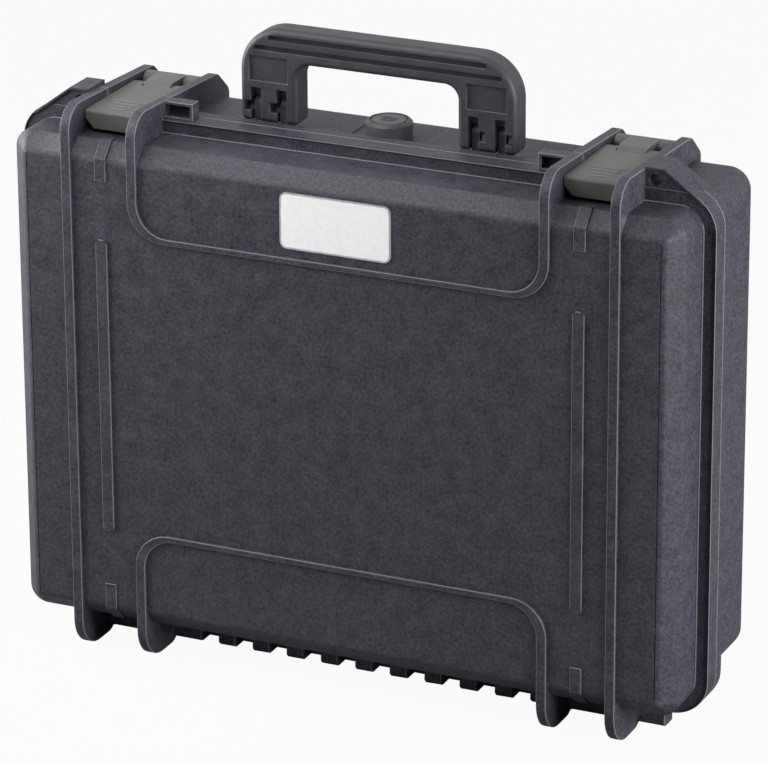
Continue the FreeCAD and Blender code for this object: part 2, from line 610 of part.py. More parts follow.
def handle():
    body = new_body("handle")
    face = at("(handle_reach - handle_depth / 2)")
    arch = new_sketch(body, "handle_arch", "XZ_Plane", face)
    polygon(arch, [("-handle_half", "handle_low"), ("-handle_half", "handle_top"), ("handle_half", "handle_top"),
                   ("handle_half", "handle_low"), ("grip_half", "handle_low"), ("grip_half", "grip_low"),
                   ("-grip_half", "grip_low"), ("-grip_half", "handle_low")])
    pad(body, arch, "handle_depth", True)
    round_edges(body, "Fillet", "handle_round", along_y_at([("handle_half", "handle_top")]))
    round_edges(body, "Fillet", "grip_round", along_y_at([("grip_half", "grip_low")]))
    round_edges(body, "Fillet", "handle_edge",
                along_y_at([("handle_half", "handle_low"), ("grip_half", "handle_low")]))
    front, back = in_plane_y(face), in_plane_y(at("(handle_reach + handle_depth / 2)"))
    round_edges(body, "Fillet", "handle_edge", lambda edge: front(edge) or back(edge))
    slots = new_sketch(body, "lug_slots", "XZ_Plane", face)
    for lug in (NEAR_LUG, FAR_LUG):
        half = "(lug_width / 2 + lug_gap)"
        polygon(slots, box_outline("%s - %s" % (lug, half), "%s + %s" % (lug, half),
                                   "handle_low - overrun", "lug_slot_top"))
    mirror(body, [pocket(body, slots, "handle_depth + overrun")])
    windows = new_sketch(body, "pin_windows", "XZ_Plane", face)
    for lug in (NEAR_LUG, FAR_LUG):
        polygon(windows, box_outline(lug, "%s + lug_width / 2 + lug_gap + window_width" % lug,
                                     "handle_pivot - window_height / 2", "handle_pivot + window_height / 2"))
    mirror(body, [pocket(body, windows, "window_depth")])
    panels = new_sketch(body, "foot_panels", "XZ_Plane", face)
    polygon(panels, box_outline("grip_half + foot_panel_inset", "handle_half - foot_panel_inset",
                                "foot_panel_low", "foot_panel_high"))
    mirror(body, [pocket(body, panels, "panel_depth")])
    grooves = new_sketch(body, "grip_grooves", "XZ_Plane", face)
    for level, inset in (("groove_low", "low_groove_inset"), ("groove_high", "high_groove_inset")):
        half = "(handle_half - %s)" % inset
        rounded_box(grooves, "-" + half, half, level, level + " + groove_height", "groove_round")
    pocket(body, grooves, "groove_depth")
    bores = new_sketch(body, "handle_bores", "YZ_Plane", "grip_half + handle_pin_inset")
    circle(bores, at("handle_reach"), "handle_pivot", "handle_pin_radius + pin_clearance")
    mirror(body, [pocket(body, bores, "handle_half - grip_half - 2 * handle_pin_inset", True)])
    return body


# Latches, one on each side


def latch(side, sign):
    """A lever that hooks over the catch bar, on a link that swings between the base's ears."""
    centre = "(%s%s)" % (sign, LATCH_X)
    inner = "(%s - %s)" % (centre, LATCH_HALF)
    width = "(2 * %s)" % LATCH_HALF
    tongue = "(%s - tongue_half)" % centre
    pivot, pin = at("lever_pivot_reach"), at("link_pin_reach")

    arm = [(pivot, "latch_axis + tongue_radius"), (pin, "latch_axis + link_radius"), (pin, "tongue_low"),
           (pivot, "tongue_low")]
    link = [slab("link_arm_" + side, "YZ_Plane", tongue, [arm], "2 * tongue_half"),
            rod("link_nose_" + side, tongue, pivot, "latch_axis", "tongue_radius", "2 * tongue_half"),
            rod("link_barrel_" + side, inner, pin, "latch_axis", "link_radius", width)]
    bores = [rod("link_bore_" + side, inner, pin, "latch_axis", "pin_radius + pin_clearance", width),
             rod("nose_bore_" + side, tongue, pivot, "latch_axis", "pin_radius + pin_clearance", "2 * tongue_half")]
    carved("latch_link_" + side, link, bores)

    under, lip = "(lever_top - lever_thick)", at("(lever_reach + lip_thick)")
    profile = [(at("lever_reach"), "lip_low"), (at("lever_reach"), "lever_top"), (pivot, "lever_top"),
               (pivot, under), (lip, under), (lip, "lip_low")]
    plate = slab("lever_plate_" + side, "YZ_Plane", inner, [profile], width)
    round_edges(plate, "Fillet", "lever_edge", along_x_at([(at("lever_reach"), "lever_top")]))
    round_edges(plate, "Chamfer", "lip_corner", low_along_y("lip_low"))
    hook = box_outline(at("(lever_reach + lip_thick / 2)"), at("(catch_reach - catch_radius - hook_gap)"),
                       "lip_low + hook_gap", under + " + lever_thick / 2")
    solids = [plate, rod("lever_lugs_" + side, inner, pivot, "latch_axis", "lever_lug", width),
              slab("lever_hook_" + side, "YZ_Plane", "%s - hook_half" % centre, [hook], "2 * hook_half")]
    notch = box_outline("%s - tongue_half - latch_gap" % centre, "%s + tongue_half + latch_gap" % centre,
                        at("(lever_pivot_reach - tongue_radius - latch_gap)"),
                        at("(lever_pivot_reach + tongue_radius)"))
    ridges = []
    for index in range(GRIP_RIDGES):
        start = "(lever_reach + ridge_start + %d * ridge_pitch)" % index
        inset = "(ridge_inset + %d * ridge_step)" % (GRIP_RIDGES - index)
        ridges.append(box_outline("%s + %s" % (inner, inset), "%s + %s - %s" % (inner, width, inset),
                                  at(start), at("(%s + ridge_width)" % start)))
    solids.append(slab("grip_ridges_" + side, "XY_Plane", "lever_top - lever_thick / 2", ridges,
                       "lever_thick / 2 + ridge_height"))
    tools = [slab("lever_notch_" + side, "XY_Plane", "latch_axis - link_radius", [notch], "2 * link_radius"),
             rod("lever_bore_" + side, inner, pivot, "latch_axis", "pin_radius + pin_clearance", width)]
    carved("latch_lever_" + side, solids, tools)

    ears = "(%s - 2 * pin_clearance)" % PIN_SPAN
    rod("latch_pin_" + side, "%s - %s / 2" % (centre, ears), pin, "latch_axis", "pin_radius", ears)
    rod("lever_pin_" + side, "%s + latch_gap" % inner, pivot, "latch_axis", "pin_radius",
        "%s - 2 * latch_gap" % width)
    rod("catch_bar_" + side, "%s - %s / 2" % (centre, ears), at("catch_reach"), "catch_z", "catch_radius", ears)


# Pressure valve


def turned(label, outlines):
    """A round piece of the valve, from its half section."""
    body = new_body(label)
    sketch = new_sketch(body, label + "_section", "XZ_Plane", at("valve_reach"))
    for outline in outlines:
        polygon(sketch, outline)
    revolve(body, sketch)
    return body


def valve():
    seat = "(deck + valve_seal_thick)"
    shoulder = "(deck + valve_seal_thick + valve_flange_thick)"
    end = "(deck - wall - stem_length)"
    turned("valve_body", [[("stem_bore", end), ("stem_radius", end), ("stem_radius", seat), ("valve_flange", seat),
                           ("valve_flange", shoulder), ("stem_bore", shoulder)]])
    turned("valve_seal", [box_outline("valve_hole", "valve_flange", "deck", seat)])
    groove_in, groove_out = "(cap_groove_radius - cap_groove_width)", "cap_groove_radius"
    under, skirt = "(cap_top - cap_skin)", "(valve_flange + cap_gap)"
    turned("valve_cap", [[("0", under), (skirt, under), (skirt, "deck + cap_gap"), ("cap_radius", "deck + cap_gap"),
                          ("cap_radius", "cap_top - cap_edge"), ("cap_radius - cap_edge", "cap_top"),
                          (groove_out, "cap_top"), (groove_out, "cap_top - cap_groove_depth"),
                          (groove_in, "cap_top - cap_groove_depth"), (groove_in, "cap_top"), ("0", "cap_top")]])
    turned("valve_nut", [box_outline("stem_radius + pin_clearance", "nut_radius", "deck - wall - nut_thick",
                                     "deck - wall")])
    turned("valve_membrane", [box_outline("0", "stem_bore - pin_clearance", "deck", "deck + membrane_thick")])


lid_shell()
seal_body("lid_seal", "seal_clearance", "seal_groove_depth - seal_clearance")
base_shell()
rod("hinge_rod", "-" + HINGE_HALF, PARTING, "hinge_z", "rod_radius", "2 * " + HINGE_HALF)
handle()
for side, sign in (("left", "-"), ("right", "")):
    latch(side, sign)
    start = {"left": "-handle_half + handle_pin_inset", "right": "grip_half + handle_pin_inset"}[side]
    rod("handle_pin_" + side, start, at("handle_reach"), "handle_pivot", "handle_pin_radius",
        "handle_half - grip_half - 2 * handle_pin_inset")
valve()

# Checks, then one file for each sub-part

SUB_PARTS = ["lid_shell", "lid_seal", "base_shell", "hinge_rod", "handle", "valve_body", "valve_seal", "valve_cap",
             "valve_nut", "valve_membrane"]
for side in ("left", "right"):
    SUB_PARTS += [name + "_" + side for name in ("lid_lug", "base_lug", "latch_link", "latch_lever", "latch_pin",
                                                 "lever_pin", "catch_bar", "handle_pin")]
doc.recompute()
faults = [item.Name for item in doc.Objects if "Invalid" in item.State or "Error" in item.State]
pieces = [doc.getObjectsByLabel(label)[0] for label in SUB_PARTS]
faults += [item.Label for item in pieces if item.Shape.isNull() or not item.Shape.isValid()]
if faults:
    raise RuntimeError("These objects failed: " + ", ".join(faults))
os.makedirs("parts", exist_ok=True)
for item in pieces:
    item.Shape.exportStep("parts/%s.step" % item.Label)
    print(item.Label, len(item.Shape.Solids), round(item.Shape.Volume), item.Shape.BoundBox)
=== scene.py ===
import json
import math

import bmesh
import bpy
from bpy.props import FloatProperty, IntProperty, PointerProperty, StringProperty
from mathutils import Matrix, Vector


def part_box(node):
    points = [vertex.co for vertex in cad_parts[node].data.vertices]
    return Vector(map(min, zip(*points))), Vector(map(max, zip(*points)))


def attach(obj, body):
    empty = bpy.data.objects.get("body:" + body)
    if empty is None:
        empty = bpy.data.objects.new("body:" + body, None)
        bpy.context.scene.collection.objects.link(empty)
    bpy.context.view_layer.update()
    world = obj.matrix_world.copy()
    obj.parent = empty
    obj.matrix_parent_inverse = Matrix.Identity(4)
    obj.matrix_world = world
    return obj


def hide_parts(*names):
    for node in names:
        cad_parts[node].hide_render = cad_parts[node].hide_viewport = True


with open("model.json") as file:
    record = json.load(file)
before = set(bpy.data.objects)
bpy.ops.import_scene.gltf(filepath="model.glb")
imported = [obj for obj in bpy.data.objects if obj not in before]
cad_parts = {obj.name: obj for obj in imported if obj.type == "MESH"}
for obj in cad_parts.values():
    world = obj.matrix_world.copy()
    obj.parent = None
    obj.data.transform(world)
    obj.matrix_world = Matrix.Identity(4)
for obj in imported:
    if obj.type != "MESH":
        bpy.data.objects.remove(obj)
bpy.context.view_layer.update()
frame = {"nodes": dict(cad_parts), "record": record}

bl_info = {
    "name": "Hard case finish",
    "version": (1, 0, 0),
    "blender": (4, 5, 0),
    "location": "3D View > Sidebar > Hard case",
    "description": "Dresses the packed protective case: shells, latches, handle, valve, plate and stage",
    "category": "Object",
}

MM = 0.001


# Sizes and colours a user may change


class CaseSizes(bpy.types.PropertyGroup):
    shell_edge: FloatProperty(
        name="Shell edge", description="Radius that moulding leaves on the shells' edges",
        default=0.55 * MM, unit="LENGTH", precision=5)
    soft_edge: FloatProperty(
        name="Soft edge", description="Width of the round between the lid's front and its slopes",
        default=2.5 * MM, unit="LENGTH", precision=5)
    latch_edge: FloatProperty(
        name="Latch edge", description="Radius on the edges of the latch mouldings", default=0.5 * MM,
        unit="LENGTH", precision=5)
    plate_width: FloatProperty(
        name="Plate width", description="Width of the bare plate on the lid",
        default=80 * MM, unit="LENGTH")
    plate_height: FloatProperty(
        name="Plate height", description="Height of the bare plate on the lid",
        default=39 * MM, unit="LENGTH")
    plate_middle: FloatProperty(
        name="Plate middle", description="Height of the plate's middle over the floor", default=337.5 * MM,
        unit="LENGTH")
    plate_corner: FloatProperty(
        name="Plate corner", description="Corner radius of the plate", default=5 * MM, unit="LENGTH")
    plate_thick: FloatProperty(
        name="Plate thickness", description="How far the plate stands off the lid", default=0.8 * MM,
        unit="LENGTH", precision=5)
    plate_border: FloatProperty(
        name="Plate border", description="Width of the silver border",
        default=1.2 * MM, unit="LENGTH", precision=5)
    front_depth: FloatProperty(
        name="Front depth", description="How far the lid's front, where the plate sits, lies behind the ribs",
        default=2.5 * MM, unit="LENGTH", precision=5)
    bar_count: IntProperty(name="Valve bars", description="Raised bars on the valve cap", default=3)
    bar_pitch: FloatProperty(
        name="Bar pitch", description="Distance between the raised bars",
        default=3 * MM, unit="LENGTH", precision=5)
    bar_length: FloatProperty(
        name="Bar length", description="Length of a raised bar",
        default=10 * MM, unit="LENGTH", precision=5)
    bar_width: FloatProperty(
        name="Bar width", description="Width of a raised bar", default=0.9 * MM, unit="LENGTH", precision=5)
    bar_height: FloatProperty(
        name="Bar height", description="How far a bar stands up",
        default=0.35 * MM, unit="LENGTH", precision=5)


class CaseColours(bpy.types.PropertyGroup):
    shell: StringProperty(name="Shell", description="Shell colour, sRGB hex", default="1d1c22")
    shell_pale: StringProperty(
        name="Shell mottle", description="Paler cloud in the shell, sRGB hex", default="403f48")
    # Edge colour: paler than the shell, a painted highlight on the rounds of its steep edges
    edge: StringProperty(name="Edges", description="Painted highlight on the rounded edges of the shell, sRGB hex", default="626169")
    handle: StringProperty(name="Handle", description="Handle colour, sRGB hex", default="28272b")
    latch: StringProperty(name="Latch", description="Latch colour, sRGB hex", default="504e4c")
    plate: StringProperty(name="Plate", description="Plate colour, sRGB hex", default="d6d6d6")


class StageSettings(bpy.types.PropertyGroup):
    lens: FloatProperty(name="Lens", description="Camera focal length in millimetres", default=230.399)
    azimuth: FloatProperty(
        name="Azimuth", description="Camera angle to the right of the lid", default=math.radians(24.712),
        subtype="ANGLE")
    elevation: FloatProperty(
        name="Elevation", description="Camera angle over the floor", default=math.radians(21.042),
        subtype="ANGLE")
    roll: FloatProperty(
        name="Roll", description="Camera roll", default=math.radians(-0.31), subtype="ANGLE")
    distance: FloatProperty(name="Distance", description="Camera distance", default=3.3858, unit="LENGTH")
    across: FloatProperty(
        name="Across", description="Camera offset to its right", default=0.00169, unit="LENGTH")
    rise: FloatProperty(
        name="Rise", description="Camera offset along its own up", default=0.19232, unit="LENGTH")


def sizes():
    return bpy.context.scene.case_sizes


def colours():
    return bpy.context.scene.case_colours


def linear(text):
    """An sRGB hex colour as linear RGBA."""
    parts = [int(text[start:start + 2], 16) / 255 for start in (0, 2, 4)]
    return [part / 12.92 if part <= 0.04045 else ((part + 0.055) / 1.055) ** 2.4 for part in parts] + [1.0]


# Materials


def add(tree, kind, inputs=None, **settings):
    """Adds a node with its settings, and links or sets its inputs."""
    node = tree.nodes.new(kind)
    for name, value in settings.items():
        setattr(node, name, value)
    for name, value in (inputs or {}).items():
        several = value if isinstance(value, list) else [value]
        if isinstance(several[0], bpy.types.NodeSocket):
            for source in several:
                tree.links.new(source, node.inputs[name])
        else:
            node.inputs[name].default_value = value
    return node


def new_material(name):
    material = bpy.data.materials.new(name)
    material.use_nodes = True
    material.node_tree.nodes.clear()
    return material, material.node_tree


def ramp(tree, factor, stops):
    """A colour ramp between grey or colour stops."""
    node = add(tree, "ShaderNodeValToRGB", {"Fac": factor})
    points = node.color_ramp.elements
    while len(points) < len(stops):
        points.new(0.5)
    for point, (place, colour) in zip(points, stops):
        point.position = place
        point.color = colour
    return node.outputs["Color"]


def finish_material(tree, colour, roughness, height, depth, strength, **sockets):
    bump = add(tree, "ShaderNodeBump", {"Strength": strength, "Distance": depth, "Height": height})
    inputs = {"Base Color": colour, "Roughness": roughness, "Normal": bump.outputs["Normal"]}
    inputs.update(sockets)
    shader = add(tree, "ShaderNodeBsdfPrincipled", inputs)
    add(tree, "ShaderNodeOutputMaterial", {"Surface": shader.outputs["BSDF"]})


def moulded_plastic(name, base, pale, grain_mm, cloud_mm, rough, depth_mm):
    """Moulded plastic with a spark-eroded grain: a soft sheen, faint clouds and fine specks.

    The real grain is about a quarter of a millimetre and would not show, so it is drawn coarser.
    """
    material, tree = new_material(name)
    place = add(tree, "ShaderNodeTexCoord").outputs["Object"]
    cloud = add(tree, "ShaderNodeTexNoise",
                {"Vector": place, "Scale": 1 / (cloud_mm * MM), "Detail": 5.0, "Roughness": 0.62})
    grain = add(tree, "ShaderNodeTexNoise",
                {"Vector": place, "Scale": 1 / (grain_mm * MM), "Detail": 3.0, "Roughness": 0.7})
    mixed = add(tree, "ShaderNodeMix",
                {"Factor": 0.7, "A": cloud.outputs["Fac"], "B": grain.outputs["Fac"]})
    colour = ramp(tree, mixed.outputs["Result"], [(0.36, linear(base)), (0.66, linear(pale))])
    gloss = add(tree, "ShaderNodeMapRange",
                {"Value": cloud.outputs["Fac"], "From Min": 0.3, "From Max": 0.7, "To Min": rough - 0.06,
                 "To Max": rough + 0.06})
    finish_material(tree, colour, gloss.outputs["Result"], grain.outputs["Fac"], depth_mm * MM, 0.55,
                    **{"Specular IOR Level": 0.25})
    return material


def drawn_steel():
    """Stainless rod, drawn through a die: bright, with fine lines along its length."""
    material, tree = new_material("stainless_steel_drawn")
    place = add(tree, "ShaderNodeTexCoord").outputs["Object"]
    stretched = add(tree, "ShaderNodeMapping", {"Vector": place, "Scale": (0.05, 1.0, 1.0)})
    lines = add(tree, "ShaderNodeTexNoise",
                {"Vector": stretched.outputs["Vector"], "Scale": 1 / (0.5 * MM), "Detail": 3.0})
    colour = ramp(tree, lines.outputs["Fac"], [(0.3, linear("a4a5a7")), (0.7, linear("c4c5c6"))])
    gloss = add(tree, "ShaderNodeMapRange", {"Value": lines.outputs["Fac"], "To Min": 0.22, "To Max": 0.38})
    finish_material(tree, colour, gloss.outputs["Result"], lines.outputs["Fac"], 0.02 * MM, 0.3,
                    Metallic=1.0)
    return material


def seal_rubber():
    """Extruded rubber cord: near black, dull, with a fine bloom."""
    material, tree = new_material("nitrile_rubber_extruded")
    place = add(tree, "ShaderNodeTexCoord").outputs["Object"]
    bloom = add(tree, "ShaderNodeTexNoise", {"Vector": place, "Scale": 1 / (6 * MM), "Detail": 4.0})
    colour = ramp(tree, bloom.outputs["Fac"], [(0.35, linear("1a1a1b")), (0.7, linear("272728"))])
    gloss = add(tree, "ShaderNodeMapRange", {"Value": bloom.outputs["Fac"], "To Min": 0.7, "To Max": 0.85})
    finish_material(tree, colour, gloss.outputs["Result"], bloom.outputs["Fac"], 0.05 * MM, 0.3)
    return material


def plate_film(name, base, shade, metallic):
    """Printed polyester film under a clear coat: smooth, with a faint orange peel."""
    material, tree = new_material(name)
    place = add(tree, "ShaderNodeTexCoord").outputs["Object"]
    peel = add(tree, "ShaderNodeTexNoise", {"Vector": place, "Scale": 1 / (4 * MM), "Detail": 2.0})
    colour = ramp(tree, peel.outputs["Fac"], [(0.3, linear(shade)), (0.7, linear(base))])
    gloss = add(tree, "ShaderNodeMapRange", {"Value": peel.outputs["Fac"], "To Min": 0.3, "To Max": 0.38})
    finish_material(tree, colour, gloss.outputs["Result"], peel.outputs["Fac"], 0.02 * MM, 0.2,
                    Metallic=metallic)
    return material


# Geometry helpers


def link(piece):
    bpy.context.scene.collection.objects.link(piece)
    return piece


def bare(node):
    """A copy of a CAD node's mesh without its stored normals."""
    mesh = frame["nodes"][node].data.copy()
    if "custom_normal" in mesh.attributes:
        mesh.attributes.remove(mesh.attributes["custom_normal"])
    return mesh


def plain_mesh(piece):
    """The mesh that a piece's modifiers make."""
    graph = bpy.context.evaluated_depsgraph_get()
    return bpy.data.meshes.new_from_object(piece.evaluated_get(graph))


def add_round(piece, width, weights, material, steps=2):
    """Rounds the edges that carry a weight."""
    bevel = piece.modifiers.new(weights, "BEVEL")
    bevel.width = width
    bevel.segments = steps
    bevel.limit_method = "WEIGHT"
    bevel.edge_weight = weights
    bevel.use_clamp_overlap = False
    bevel.loop_slide = False
    bevel.material = material


def turn(edge):
    """The angle between an edge's two faces in degrees, below zero in a hollow."""
    return math.degrees(edge.calc_face_angle_signed(0)) if len(edge.link_faces) == 2 else 0


def edges_rounded(node, name, radius, materials, soft=0.0, soft_place=0.0):
    """A copy of a CAD node with the small radii that a mould leaves on its edges.

    Steep convex edges take the last, paler material, a painted highlight along their rounds; flatter ones
    keep the body's material, and those in the front plane take the soft width.
    Many-sided faces are cut beforehand, but for those beside a soft edge, or the rounds leave dark wedges.
    """
    mesh = bare(node)
    work = bmesh.new()
    work.from_mesh(mesh)
    bmesh.ops.remove_doubles(work, verts=work.verts, dist=0.002 * MM)
    bmesh.ops.dissolve_limit(work, angle_limit=math.radians(0.5), verts=work.verts, edges=work.edges)
    work.faces.index_update()
    for kind in ("soft", "plain", "rubbed"):
        work.edges.layers.float.new(kind + "_edge")
    layers = work.edges.layers.float
    whole = set()
    for edge in work.edges:
        bend = turn(edge)
        edge.smooth = abs(bend) < 28 or (bend > 0 and edge.calc_length() > 0.45 * MM)
        if soft and 12 < bend < 58 and all(abs(vert.co.y - soft_place) < 0.05 * MM for vert in edge.verts):
            edge[layers["soft_edge"]] = 1.0
            whole.update(face.index for face in edge.link_faces)
        elif bend > 28 and edge.smooth:
            # steep convex edges take the paler last material: a painted highlight along the round
            edge[layers["rubbed_edge" if bend > 58 else "plain_edge"]] = 1.0
    for face in work.faces:
        face.smooth = True
        face.material_index = 0
    bmesh.ops.triangulate(work, faces=[
        face for face in work.faces if len(face.verts) > 4 and face.index not in whole])
    work.to_mesh(mesh)
    work.free()
    mesh.materials.clear()
    for material in materials:
        mesh.materials.append(material)
    piece = link(bpy.data.objects.new(name, mesh))
    if soft:
        add_round(piece, soft, "soft_edge", 0, 5)
    add_round(piece, radius, "plain_edge", 0)
    # the paler last material on these rounds is a painted highlight
    add_round(piece, radius, "rubbed_edge", len(materials) - 1)
    flat = piece.modifiers.new("flat_faces", "WEIGHTED_NORMAL")
    flat.mode = "FACE_AREA"
    flat.weight = 100
    flat.keep_sharp = True
    piece.data = plain_mesh(piece)
    piece.modifiers.clear()
    # A round can overshoot where three edges meet, so the piece is held inside its node's box
    low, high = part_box(node)
    for vert in piece.data.vertices:
        vert.co = [min(max(place, start), end) for place, start, end in zip(vert.co, low, high)]
    return piece


def new_tree(name, inputs):
    """An empty geometry tree with named inputs, and its input sockets by name."""
    tree = bpy.data.node_groups.new(name, "GeometryNodeTree")
    for label, kind in inputs:
        tree.interface.new_socket(label, in_out="INPUT", socket_type="NodeSocket" + kind)
    tree.interface.new_socket("Geometry", in_out="OUTPUT", socket_type="NodeSocketGeometry")
    return tree, tree.nodes.new("NodeGroupInput").outputs


def grown(name, tree, values):
    """A piece with the plain mesh that a tree makes from the given inputs."""
    piece = link(bpy.data.objects.new(name, bpy.data.meshes.new(name)))
    modifier = piece.modifiers.new(name, "NODES")
    modifier.node_group = tree
    for item in tree.interface.items_tree:
        if item.in_out == "INPUT":
            modifier[item.identifier] = values[item.name]
    mesh = plain_mesh(piece)
    piece.modifiers.remove(modifier)
    piece.data = mesh
    return piece


def stand_for(piece, node, body):
    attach(piece, body)
    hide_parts(node)


def dress(nodes, material):
    """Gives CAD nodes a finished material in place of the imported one."""
    for node in nodes:
        shown = frame["nodes"][node]
        for index in range(len(shown.data.materials)):
            shown.data.materials[index] = material


# Operators


class CASE_OT_shells(bpy.types.Operator):
    """Make the lid and base mouldings with their edge radii"""
    bl_idname = "case.shells"
    bl_label = "Shells"

    def execute(self, context):
        tint = colours()
        body = moulded_plastic("polypropylene_moulded", tint.shell, tint.shell_pale, 2.2, 11, 0.55, 0.22)
        # the paler edge material is a painted highlight on the shells' steep rounds
        edge = moulded_plastic("polypropylene_painted_highlight_edge", tint.edge, "5a5961", 2.1, 9, 0.48, 0.05)
        for owner in ("lid", "base"):
            node = owner + "_shell"
            soft = sizes().soft_edge if owner == "lid" else 0
            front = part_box(node)[0].y + sizes().front_depth
            piece = edges_rounded(node, owner + "_moulding", sizes().shell_edge, [body, edge], soft, front)
            stand_for(piece, node, owner)
            dress([owner + "_lug_left", owner + "_lug_right"], body)
        return {"FINISHED"}


class CASE_OT_latches(bpy.types.Operator):
    """Make the latch levers and links"""
    bl_idname = "case.latches"
    bl_label = "Latches"

    def execute(self, context):
        tint = colours()
        body = moulded_plastic("glass_filled_nylon_moulded", tint.latch, "5a5856", 1.3, 10, 0.5, 0.08)
        # the paler edge material is a painted highlight on the latches' steep rounds
        edge = moulded_plastic("glass_filled_nylon_edge", "6f6e6b", tint.latch, 1.3, 8, 0.45, 0.04)
        for side in ("left", "right"):
            for form in ("lever", "link"):
                node = "latch_%s_%s" % (form, side)
                name = "%s_moulding_%s" % (form, side)
                piece = edges_rounded(node, name, sizes().latch_edge, [body, edge])
                stand_for(piece, node, "%s_%s" % (form, side))
        return {"FINISHED"}


class CASE_OT_handle(bpy.types.Operator):
    """Make the handle"""
    bl_idname = "case.handle"
    bl_label = "Handle"

    def execute(self, context):
        tint = colours()
        body = moulded_plastic("nylon_moulded", tint.handle, "38373c", 1.4, 11, 0.48, 0.08)
        # the paler edge material is a painted highlight on the handle's steep rounds
        edge = moulded_plastic("nylon_edge", "4d4d52", tint.handle, 1.4, 8, 0.42, 0.04)
        piece = edges_rounded("handle", "handle_moulding", sizes().latch_edge, [body, edge])
        stand_for(piece, "handle", "handle")
        return {"FINISHED"}


class CASE_OT_fittings(bpy.types.Operator):
    """Finish the valve, the seals and the steel rods"""
    bl_idname = "case.fittings"
    bl_label = "Fittings"

    def execute(self, context):
        groups = {}
        for entry in frame["record"]["subparts"]:
            groups.setdefault(entry["material_slot"], []).append(entry["node"])
        dress(groups["steel_pin"], drawn_steel())
        dress(groups["seal_rubber"], seal_rubber())
        acetal = moulded_plastic("acetal_moulded", "3e3d41", "48474b", 1.2, 8, 0.42, 0.05)
        dress(groups["valve_plastic"], acetal)
        dress(groups["white_film"], plate_film("membrane_film", "f0f0f0", "e6e6e6", 0.0))
        return {"FINISHED"}


class CASE_OT_marks(bpy.types.Operator):
    """Make the row of raised bars on the valve cap"""
    bl_idname = "case.marks"
    bl_label = "Valve bars"

    def execute(self, context):
        size = sizes()
        tree, given = new_tree("raised_bars", (
            ("Count", "Int"), ("Start", "Vector"), ("Step", "Vector"), ("Bar", "Vector"),
            ("Plastic", "Material")))
        row = add(tree, "GeometryNodeMeshLine",
                  {"Count": given["Count"], "Start Location": given["Start"], "Offset": given["Step"]})
        bar = add(tree, "GeometryNodeMeshCube", {"Size": given["Bar"]})
        bars = add(tree, "GeometryNodeInstanceOnPoints",
                   {"Points": row.outputs[0], "Instance": bar.outputs["Mesh"]})
        solid = add(tree, "GeometryNodeRealizeInstances", {"Geometry": bars.outputs[0]})
        done = add(tree, "GeometryNodeSetMaterial",
                   {"Geometry": solid.outputs[0], "Material": given["Plastic"]})
        add(tree, "NodeGroupOutput", {"Geometry": done.outputs[0]})
        low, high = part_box("valve_cap")
        middle = (low + high) / 2
        back = size.bar_pitch * (size.bar_count - 1) / 2
        piece = grown("valve_bars", tree, {
            "Count": size.bar_count, "Start": (middle.x, middle.y - back, high.z),
            "Step": (0, size.bar_pitch, 0),
            "Bar": (size.bar_length, size.bar_width, 2 * size.bar_height),
            "Plastic": bpy.data.materials["acetal_moulded"]})
        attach(piece, "base")
        return {"FINISHED"}


class CASE_OT_plate(bpy.types.Operator):
    """Make the bare plate on the front of the lid"""
    bl_idname = "case.plate"
    bl_label = "Plate"

    def execute(self, context):
        size = sizes()
        tree, given = new_tree("rounded_plate", (
            ("Width", "Float"), ("Height", "Float"), ("Corner", "Float"), ("Thickness", "Float"),
            ("Border", "Float"), ("Place", "Vector"), ("Turn", "Vector"), ("White", "Material"),
            ("Silver", "Material")))
        double = add(tree, "ShaderNodeMath", {0: given["Border"], 1: 2.0}, operation="MULTIPLY")
        inner = [add(tree, "ShaderNodeMath", {0: given[name], 1: amount}, operation="SUBTRACT").outputs[0]
                 for name, amount in (("Width", double.outputs[0]), ("Height", double.outputs[0]),
                                      ("Corner", given["Border"]))]
        rim = self.layer(tree, [given["Width"], given["Height"], given["Corner"]], given["Thickness"], 0.85)
        face = self.layer(tree, inner, given["Thickness"], 1.0)
        both = add(tree, "GeometryNodeJoinGeometry",
                   {"Geometry": [rim.outputs["Mesh"], face.outputs["Mesh"]]})
        turned = add(tree, "GeometryNodeTransform", {
            "Geometry": both.outputs[0], "Translation": given["Place"], "Rotation": given["Turn"]})
        solid = add(tree, "GeometryNodeRealizeInstances", {"Geometry": turned.outputs[0]})
        silver = add(tree, "GeometryNodeSetMaterial",
                     {"Geometry": solid.outputs[0], "Material": given["Silver"]})
        white = add(tree, "GeometryNodeSetMaterial", {
            "Geometry": silver.outputs[0], "Selection": face.outputs["Top"], "Material": given["White"]})
        add(tree, "NodeGroupOutput", {"Geometry": white.outputs[0]})
        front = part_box("lid_shell")[0].y + size.front_depth
        piece = grown("lid_plate", tree, {
            "Width": size.plate_width, "Height": size.plate_height, "Corner": size.plate_corner,
            "Thickness": size.plate_thick, "Border": size.plate_border,
            "Place": (0, front, size.plate_middle), "Turn": (math.radians(90), 0, 0),
            "White": plate_film("polyester_film_white", colours().plate, "d0d0d1", 0.0),
            "Silver": plate_film("polyester_film_silver", "c9cacc", "b7b8bb", 0.7)})
        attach(piece, "lid")
        return {"FINISHED"}

    def layer(self, tree, spans, thickness, share):
        """A sheet with round corners, raised by a share of the thickness."""
        outline = add(tree, "GeometryNodeCurvePrimitiveQuadrilateral",
                      {"Width": spans[0], "Height": spans[1]})
        bent = add(tree, "GeometryNodeFilletCurve",
                   {"Curve": outline.outputs[0], "Radius": spans[2], "Count": 8}, mode="POLY")
        sheet = add(tree, "GeometryNodeFillCurve", {"Curve": bent.outputs[0]}, mode="NGONS")
        rise = add(tree, "ShaderNodeMath", {0: thickness, 1: share}, operation="MULTIPLY")
        return add(tree, "GeometryNodeExtrudeMesh",
                   {"Mesh": sheet.outputs[0], "Offset Scale": rise.outputs[0]})


